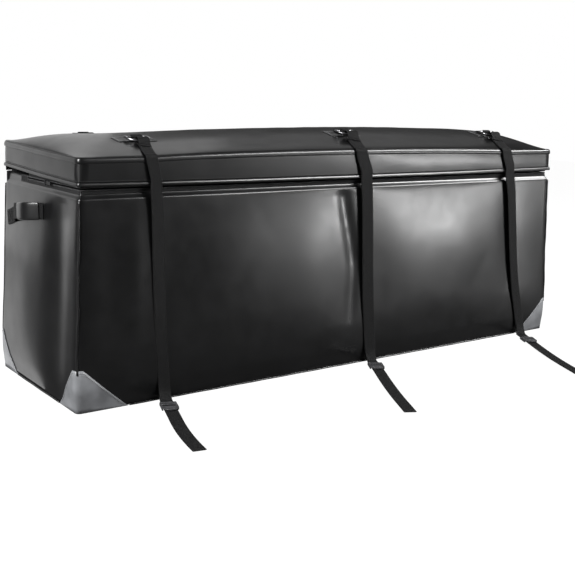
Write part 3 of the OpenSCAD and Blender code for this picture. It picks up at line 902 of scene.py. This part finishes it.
def make_zip():
    band_l, band_d = HALF_L - INSET, HALF_D - INSET
    pts, outs = open_run(band_l, band_d, 0, ZIP_BACK)
    chain_out = 0.003
    lower_low, lower_high = (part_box("zip_chain_lower")[k].z for k in (0, 1))
    upper_low, upper_high = (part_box("zip_chain_upper")[k].z for k in (0, 1))
    run = [p + o * chain_out for p, o in zip(pts, outs)]
    lower = zip_teeth("zip_teeth_lower", run, outs, lower_low, lower_high, 1)
    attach(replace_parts(lower, "zip_chain_lower"), "bag")
    upper = zip_teeth("zip_teeth_upper", run, outs, upper_low, upper_high, -1)
    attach(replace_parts(upper, "zip_chain_upper"), "lid")
    tape = ribbon("zip_tape_below", pts, outs, LEDGE + 0.0105, lower_low + 0.0008, 0.0008, TAPE)
    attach(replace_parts(tape, "zip_tape_lower"), "bag")
    inner, _ = open_run(LID_L - 0.0035, LID_D - 0.0035, 0, ZIP_BACK)
    rings, places = [], []
    high = TAPE_HIGH - 0.0008
    for p, q, gone in zip(pts, inner, distances(pts)):
        shape = (
            (p, upper_high - 0.0006), (p, upper_high + 0.006), (p, high - 0.004),
            (p.lerp(q, 0.25), high - 0.0008), (p.lerp(q, 0.6), high), (q, high + 0.0004),
        )
        places += [(0.005 * k, gone) for k in range(len(shape))]
        rings.append([Vector((r.x, r.y, z)) for r, z in shape])
    tape = solidify(loft("zip_tape_above", rings, TAPE, places, closed=False), 0.0008, 0.0)
    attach(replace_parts(tape, "zip_tape_upper"), "lid")

    made = []
    low, high = (corner.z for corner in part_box("zip_end_patches"))
    y0, y1 = ZIP_BACK + 0.001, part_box("zip_end_patches")[1].y
    for side, way in ((LEFT, -1), (RIGHT, 1)):
        x = way * (band_l + 0.0008)
        patch = rounded_bar(f"zip_end_{side}", (x - 0.0007, y0, low), (x + 0.0007, y1, high), 0.0006, TAPE)
        centre = Vector((x + way * 0.0008, (y0 + y1) / 2, (low + high) / 2))
        size = (y1 - y0 - 0.006, high - low - 0.005)
        sewn = sewn_box("sewing", centre, (OUT[BACK], UP, OUT[side]), size, DARK_THREAD, cross=False)
        made += [patch, sewn]
    patches = join("zip_ends", made)
    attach(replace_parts(patches, "zip_end_patches"), "bag")


def make_piping():
    tubes = []
    low = GUARD_H * 0.9
    for sx, sy in ((-1, -1), (-1, 1), (1, -1), (1, 1)):
        path = []
        for k in range(60):
            z = low + (LEDGE - 0.001 - low) * k / 59
            wave = 0.0006 * math.sin(z * 41 + sx) + 0.0004 * math.sin(z * 97 + sy)
            path.append(at_corner(sx, sy, z, 0.0011 + wave * 0.5) + Vector((-sx, sy, 0)) * wave)
        ups = [Vector((sx, sy, 0)).normalized()] * len(path)
        tubes.append(sweep("tube", path, oval(0.0024, 0.0024, 10), WELT, ups))
    pipe = join("corner_welts", tubes)
    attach(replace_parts(pipe, "corner_piping"), "bag")
    tubes = []
    gap = 0.004
    for side in (FRONT, BACK, LEFT, RIGHT):
        half = (HALF_L - GUARD_L if side in (FRONT, BACK) else HALF_D - GUARD_D) - gap
        n = int(2 * half / 0.012)
        path = []
        for k in range(n + 1):
            s = -half + 2 * half * k / n
            path.append(on_wall(side, s, 0.0026, 0.0012) + UP * 0.0002 * math.sin(s * 63))
        tubes.append(sweep("tube", path, oval(0.0021, 0.0021, 10), WELT, [UP] * len(path)))
    pipe = join("base_welts", tubes)
    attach(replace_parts(pipe, "base_piping"), "bag")


def make_guards():
    """Grey guards folded round the bottom corners, with a stitched slanting edge."""
    for sx, sy in ((-1, -1), (1, -1), (-1, 1), (1, 1)):
        end, face = (LEFT if sx < 0 else RIGHT), (FRONT if sy < 0 else BACK)
        name = f"{face}_{end}"
        columns = []
        for k in range(14):
            d = GUARD_D + (CORNER_R - GUARD_D) * k / 13
            share = 1 - (d - CORNER_R) / (GUARD_D - CORNER_R)
            columns.append((share, lambda z, o, d=d: on_wall(end, sy * (HALF_D - d), z, o)))
        for k in range(1, 6):
            a = math.pi / 2 * k / 6
            away = Vector((sx * math.cos(a), sy * math.sin(a), 0))
            columns.append((1.0, lambda z, o, w=away: at_corner(sx, sy, z, o, w)))
        for k in range(18):
            d = CORNER_R + (GUARD_L - CORNER_R) * k / 17
            share = 1 - (d - CORNER_R) / (GUARD_L - CORNER_R)
            columns.append((share, lambda z, o, d=d: on_wall(face, sx * (HALF_L - d), z, o)))
        rows = 9
        rings, hem, hem_up = [], [], []
        for share, place in columns:
            top = GUARD_H * (0.985 * share ** 1.06) + 0.0016
            rings.append([place(0.0012 + (top - 0.0012) * k / rows, 0.0006) for k in range(rows + 1)])
            inner = max(top - 0.0055, 0.0014)
            if share > 0.1:
                hem.append(place(inner, 0.0023))
                hem_up.append((place(inner, 0.01) - place(inner, 0.0)).normalized())
        obj = loft(f"guard_{name}", rings, GUARD, closed=False)
        face_out(obj, Vector((sx, sy, 0)))
        solidify(obj, 0.0013, 1.0)
        sewn = stitches(f"guard_{name}_sewing", hem, hem_up, THREAD, 0.0046)
        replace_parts(obj, f"{name}_guard")
        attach(obj, "bag")
        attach(sewn, "bag")


# ---- end handles
# The CAD's handle routes, in metres: stand-off, place behind the middle, height.
HANDLE_FAR = (
    (0.002, 0.186, 0.385), (0.0022, 0.162, 0.391), (0.0035, 0.138, 0.399), (0.012, 0.118, 0.405),
    (0.022, 0.098, 0.411), (0.029, 0.075, 0.4145), (0.032, 0.051, 0.417),
)
HANDLE_GRIP = (
    (0.032, 0.0495, 0.4171), (0.032, 0.020, 0.420), (0.027, 0, 0.4216), (0.015, -0.017, 0.4232),
    (0.008, -0.024, 0.4238),
)
HANDLE_NEAR = (
    (0.0069, -0.0251, 0.4239), (0.004, -0.0282, 0.4241), (0.0022, -0.032, 0.4243), (0.002, -0.036, 0.4245),
)
SLEEVE_HALF_W, SLEEVE_HALF_T = 0.0208, 0.0035


def make_handles():
    for side, way, name in ((LEFT, -1, "left"), (RIGHT, 1, "right")):

        def place(route):
            out = []
            for off, y, z in route:
                hold = max(0.0, 1 - off / 0.02)
                out.append(Vector((way * (HALF_L + off + hold * swell(side, y, z)), y, z)))
            return out

        def outs(path):
            return [Vector((t.y, -t.x, 0)).normalized() * (1 if t.y * way > 0 else -1) for t in ways(path)]

        tabs = []
        section = webbing_section(WEBBING_W, 0.0028)
        for route in (HANDLE_FAR, HANDLE_NEAR):
            path = smooth(place(route), 6)
            tabs.append(sweep("tab", path, section, WEBBING, outs(path), cloth=True))
        tab = join(f"handle_{name}_webbing", tabs)
        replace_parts(tab, f"{name}_handle_webbing")
        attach(tab, "bag")
        path = smooth(place(HANDLE_GRIP), 8)
        count = len(path)
        rings = []
        for i, (p, up, ahead) in enumerate(zip(path, outs(path), ways(path))):
            t = i / (count - 1)
            pinch = 1 - 0.12 * abs(2 * t - 1) ** 6
            aside = ahead.normalized().cross(up).normalized()
            thick = SLEEVE_HALF_T * (1 + 0.10 * math.sin(7 * t + way)) * pinch
            rings.append([p + aside * u * pinch + up * v for u, v in oval(SLEEVE_HALF_W, thick, 28, 5)])
        first = [path[0] + (v - path[0]) * 0.80 for v in rings[0]]
        last = [path[-1] + (v - path[-1]) * 0.80 for v in rings[-1]]
        grip = loft(f"handle_{name}_sleeve", [first] + rings + [last], LID_VINYL, caps=True)
        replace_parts(grip, f"{name}_handle_grip")
        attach(grip, "bag")
        far = place(HANDLE_FAR)
        along = (far[1] - far[0]).normalized()
        up = OUT[side]
        across = along.cross(up).normalized()
        centre = far[0].lerp(far[1], 0.62) + up * 0.0017
        sewn = sewn_box(f"handle_{name}_sewing", centre, (along, across, up), (0.028, 0.029), DARK_THREAD)
        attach(sewn, "bag")


# ---- the lid
# The rolled hem's section: distance down, distance out. Its upper face slants.
HEM_SECTION = (
    (0.0042, 0.0002), (0.0036, 0.0015), (0.0018, 0.0022), (-0.0004, 0.00225), (-0.0012, 0.0020),
    (-0.0034, 0.00125), (-0.0040, 0.0009), (-0.0044, 0), (-0.0036, -0.0012), (0, -0.0016), (0.0036, -0.0010),
)
HEM_SAG = 0.0035  # how far the hem hangs below its line along the middle of the front


def hem_move(p):
    """How far the hem is off its own level: up at the left end, down along the front."""
    along = max(0.0, 1 - (p.x / 0.78) ** 2)
    return end_lift(p.x, p.y) - HEM_SAG * along * clamp((-p.y - 0.18) / (LID_D - 0.18))


# The rings of the lid's top: distance in from its edge, and how far the first two hang below it.
LID_RINGS = [(0.0005, 0.0018), (0.0018, 0.0003)] + [(inset, 0.0) for inset in (
    0.004, 0.009, 0.016, 0.024, 0.032, 0.040, 0.050, 0.062, 0.076, 0.094, 0.114, 0.134, 0.156, 0.180,
    0.202, LID_D,
)]
# The welt along the lid's top edge: distance down, distance out.
LIP_SECTION = (
    (0.0070, 0.0004), (0.0060, -0.0006), (0.0, -0.0010), (-0.0050, -0.0030), (-0.0070, -0.0046),
    (-0.0074, -0.0028), (-0.0066, -0.0008), (-0.0050, 0.0008), (-0.0020, 0.0020), (0.0020, 0.0026),
    (0.0052, 0.0024), (0.0066, 0.0016),
)


LID_CORNER_R = 0.010


def make_lid():
    """The crowned top and its four skirts in one lofted shell."""
    rings = []

    def add(inset, z_of):
        d = min(inset, LID_D)
        places = stations(LID_L - d, LID_D - d, min(LID_CORNER_R, LID_D - d), 110, 36)
        ring = []
        for side, s, point, away in places:
            move, z = z_of(side, s, point)
            ring.append(Vector((point.x + away.x * move, point.y + away.y * move, z)))
        rings.append(ring)

    def skirt(share):
        def place(side, s, point):
            fade = math.sin(math.pi * share) if side else 0.0
            puff = 0.0014 + 0.0008 * noise.noise(Vector((point.x, point.y, share * 0.06)) * 9)
            lean = 0.0
            if side == FRONT:
                t = ease((s - 0.02) / 0.20)
                puff *= 0.3 + 0.7 * t
                lean = (1 - t) * 0.0022 * share * min(1.0, (1 - share) / 0.1)
            back = point.y > LID_D - LID_CORNER_R * 0.4
            low = HEM_LOW + 0.0004 if back else HEM_LOW + 0.004 + hem_move(point)
            top = EDGE - 0.004 + edge_lift(point.x, point.y)
            return fade * puff + lean - 0.0004, low + (top - low) * share

        return place

    for k in range(11):
        add(0.0, skirt(k / 10))
    for inset, drop in LID_RINGS:
        add(inset, lambda side, s, p: (0, lid_height(p.x, p.y) - drop))
    lid = loft("lid_shell", rings, LID_VINYL)
    bm = bmesh.new()
    bm.from_mesh(lid.data)
    bmesh.ops.remove_doubles(bm, verts=bm.verts, dist=2e-5)
    bm.to_mesh(lid.data)
    bm.free()
    lid.data.polygons.foreach_set("use_smooth", [True] * len(lid.data.polygons))
    solidify(lid, FABRIC_T)
    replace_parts(lid, "lid_top", "lid_front_flap", "lid_left_flap", "lid_right_flap", "lid_back_flap")
    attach(lid, "lid")


def make_lid_edges():
    """The welt along the lid's top edge, and its rolled hem with a row of stitches."""
    path, ups = [], []
    for _, _, point, away in stations(LID_L, LID_D, LID_CORNER_R, 150, 44):
        wave = 0.0005 * noise.noise(point * 9) + edge_lift(point.x, point.y)
        path.append(point + UP * (EDGE - 0.0068 + wave))
        ups.append(away)
    welt = sweep("lid_welt", path, LIP_SECTION, WELT, ups, closed=True)
    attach(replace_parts(welt, "lid_edge_binding"), "lid")

    pts, outs = open_run(LID_L, LID_D, (HEM_LOW + HEM_TOP) / 2, LID_D - 0.006)
    waves = [hem_move(p) - 0.0012 + 0.0006 * noise.noise(p * 7) for p in pts]
    path = [p + o * 0.0004 + UP * wave for p, o, wave in zip(pts, outs, waves)]
    hem = sweep("lid_rolled_hem", path, HEM_SECTION, WELT, outs)
    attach(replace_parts(hem, "lid_hem"), "lid")
    low = HEM_TOP + 0.0026
    path = [Vector((p.x, p.y, low + hem_move(p))) + o * 0.0008 for p, o in zip(pts, outs)]
    sewn = stitches("lid_hem_sewing", path, outs, DARK_THREAD, 0.005)
    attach(sewn, "lid")


def make_hinge():
    """The cloth that joins the lid to the bag along the back."""
    inside = HALF_D - 0.0035
    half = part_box("hinge_strip")[1].x
    low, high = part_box("hinge_strip")[0].z, HEM_LOW + 0.024
    rings, cloth = [], []
    for i in range(121):
        x = -half + 2 * half * i / 120
        levels = [low + (high - low) * k / 16 for k in range(17)]
        rings.append([Vector((x, inside, z)) for z in levels])
        cloth += [(z, x) for z in levels]
    web = loft("hinge_cloth", rings, TAPE, cloth, closed=False)
    apply_modifiers(solidify(web, 0.0009, 0.0))
    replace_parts(web, "hinge_strip")
    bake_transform(web)


# ---- anchors on the lid
def make_anchors():
    length, depth = 0.100, 0.046
    patches, loops, sewing = [], [], []
    for i, x0 in enumerate(STRAP_X):
        for row, middle in ((-1, -0.118), (1, 0.150)):
            rings = []
            for u in range(33):
                ring = []
                for v in range(13):
                    a, b = 2 * u / 32 - 1, 2 * v / 12 - 1
                    lx = math.copysign(abs(a) ** 0.9, a) * length / 2
                    corner = max(0.0, abs(a) - 0.93) / 0.07
                    ly = b * depth / 2 * (1 - 0.10 * corner**2)
                    edge = max(abs(a), abs(b))
                    out = 0.0009 + 0.0006 * (1 - max(0.0, (edge - 0.9) / 0.1))
                    ring.append(on_lid(x0 + lx, middle + ly, out)[0])
                rings.append(ring)
            patches.append(loft("patch", rings, LID_VINYL, closed=False))
            face_out(patches[-1], UP)
            for inset in (0.0035, 0.0075):
                hl, hd = length / 2 - inset, depth / 2 - inset
                corners = [(-hl, -hd), (hl, -hd), (hl, hd), (-hl, hd), (-hl, -hd)]
                line = []
                for (ax, ay), (bx, by) in zip(corners, corners[1:]):
                    for k in range(16):
                        t = k / 16
                        line.append(on_lid(x0 + ax + (bx - ax) * t, middle + ay + (by - ay) * t, 0.0017))
                path, ups = zip(*line, line[0])
                sewing.append(stitches("patch_sewing", path, ups, THREAD, 0.0052, 0.6, 0.0006))
            loops.append(anchor_loop(SIDES[i], row))
    patch = solidify(join("lid_patches", patches), 0.0016, -1.0)
    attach(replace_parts(patch, "anchor_patches"), "lid")
    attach(join("lid_patch_sewing", sewing), "lid")
    loop = join("lid_ring_loops", loops)
    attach(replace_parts(loop, "anchor_loops"), "lid")


def anchor_loop(side, row):
    """Webbing sewn down behind a ring's bar and wrapped round it."""
    ring = "ring_front" if row < 0 else "ring_back"
    low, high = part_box(f"{ring}_{side}")
    wire, wrap, sewn = 0.0056, 0.0044, 0.030
    x0 = (low.x + high.x) / 2
    bar = Vector((x0, high.y - wire / 2 if row < 0 else low.y + wire / 2, high.z - wire / 2))
    uphill = -row
    turns = [math.radians(-70 - 220 * k / 12) for k in range(13)]
    ends = [on_lid(x0, bar.y + uphill * sewn * share, 0.0028)[0] for share in (1.0, 0.55, 0.22)]
    path = [Vector((x0, p.y, p.z)) for p in ends]
    path += [bar + Vector((0, uphill * wrap * math.cos(a), wrap * math.sin(a))) for a in turns]
    path += [Vector((x0, p.y, p.z + 0.0022)) for p in reversed(ends)]
    path = smooth(path, 3)
    return sweep("loop", path, webbing_section(0.028, 0.0019, 10), WEBBING, strap_ups(path), cloth=True)


# ---- metal parts kept from the CAD
def dress(node, mat, bevel=0.0):
    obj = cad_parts[node]
    obj.data.materials.clear()
    obj.data.materials.append(mat)
    if bevel:
        limit = math.radians(40)
        modify(obj, "edges", "BEVEL", width=bevel, segments=2, limit_method="ANGLE", angle_limit=limit)


# ---- stage
FLOOR_HALF, FLOOR_Z = 8, -0.0004


def area_light(name, place, target, size, power, size_y, turned=0):
    data = bpy.data.lights.new(name, "AREA")
    data.energy = power
    data.shape = "RECTANGLE"
    data.size, data.size_y = size, size_y
    obj = new_object(name, data)
    obj.location = place
    obj.rotation_mode = "QUATERNION"
    aim = (Vector(target) - Vector(place)).to_track_quat("-Z", "Y")
    obj.rotation_quaternion = Matrix.Rotation(math.radians(turned), 3, "Z").to_quaternion() @ aim
    obj.visible_camera = False


def for_camera(tree, seen, otherwise, output):
    """Shows one shader to camera rays and another to everything else."""
    path = tree.nodes.new("ShaderNodeLightPath")
    gate = tree.nodes.new("ShaderNodeMixShader")
    link(path.outputs["Is Camera Ray"], gate.inputs["Fac"])
    link(otherwise, gate.inputs[1])
    link(seen, gate.inputs[2])
    link(gate.outputs["Shader"], tree.nodes[output].inputs["Surface"])


def glow(tree, kind, strength):
    node = tree.nodes.new(kind)
    node.inputs["Color"].default_value = (1, 1, 1, 1)
    node.inputs["Strength"].default_value = strength
    return node.outputs[0]


def make_stage():
    """A floor and a world that look white to the camera, and light the bag only softly."""
    mat, tree, bsdf = shader("floor", (0.10, 0.10, 0.10), 0.9, Specular_IOR_Level=0.1)
    lit = tree.nodes.new("ShaderNodeAddShader")
    link(bsdf.outputs["BSDF"], lit.inputs[0])
    link(glow(tree, "ShaderNodeEmission", 0.97), lit.inputs[1])
    for_camera(tree, lit.outputs["Shader"], bsdf.outputs["BSDF"], "Material Output")
    corners = [(x * FLOOR_HALF, y * FLOOR_HALF, FLOOR_Z) for x, y in ((-1, -1), (1, -1), (1, 1), (-1, 1))]
    make_mesh("floor", corners, [(0, 1, 2, 3)], mat)

    world = bpy.data.worlds.new("world")
    bpy.context.scene.world = world
    world.use_nodes = True
    tree = world.node_tree
    white, soft = (glow(tree, "ShaderNodeBackground", strength) for strength in (1.0, 0.05))
    for_camera(tree, white, soft, "World Output")
    bpy.context.scene.view_settings.view_transform = "Standard"

    # Name, place, target, width, watts, height, turn.
    area_light("front_right", (4.47, -4.57, 0.26), (0.34, -0.2, 0.34), 1.2, 77, 0.48)
    area_light("left_back", (-1.13, 2.0, 0.6), (-0.78, 0.0, 0.3), 1.07, 4.9, 1.2)
    area_light("left_floor", (-0.93, 0.90, 0.01), (-0.93, 0.90, 1.0), 0.26, 1.4, 1.9, 17)
    area_light("left_side", (-3.2, -0.5, 1.5), (-0.78, 0.0, 0.1), 1.2, 140, 1.2)
    area_light("back_card", (0.35, 4.2, 1.6), (-0.5, 0, 0.6), 2.1, 15, 2.8)
    area_light("upper_card", (0.4, 2.38, 3.2), (-0.5, 0, 0.6), 2.4, 17, 2.2)
    area_light("upper_card_dim", (2.6, 1.9, 3.2), (0.3, 0, 0.6), 2.0, 5, 2.2)
    area_light("hem_strip", (2.3, -2.0, 2.0), (0.2, -0.2, 0.5), 2.6, 140, 0.45)


# ---- assembly
make_camera()
make_straps(make_buckles())
make_shell()
make_zip()
make_piping()
make_guards()
make_handles()
make_lid()
make_lid_edges()
make_hinge()
make_anchors()
for place in SIDES:
    dress(f"ring_front_{place}", STEEL)
    dress(f"ring_back_{place}", STEEL)
for place in (LEFT, RIGHT):
    dress(f"slider_{place}", DARK_STEEL, 0.0004)
    dress(f"pull_{place}", DARK_STEEL, 0.0004)
make_stage()
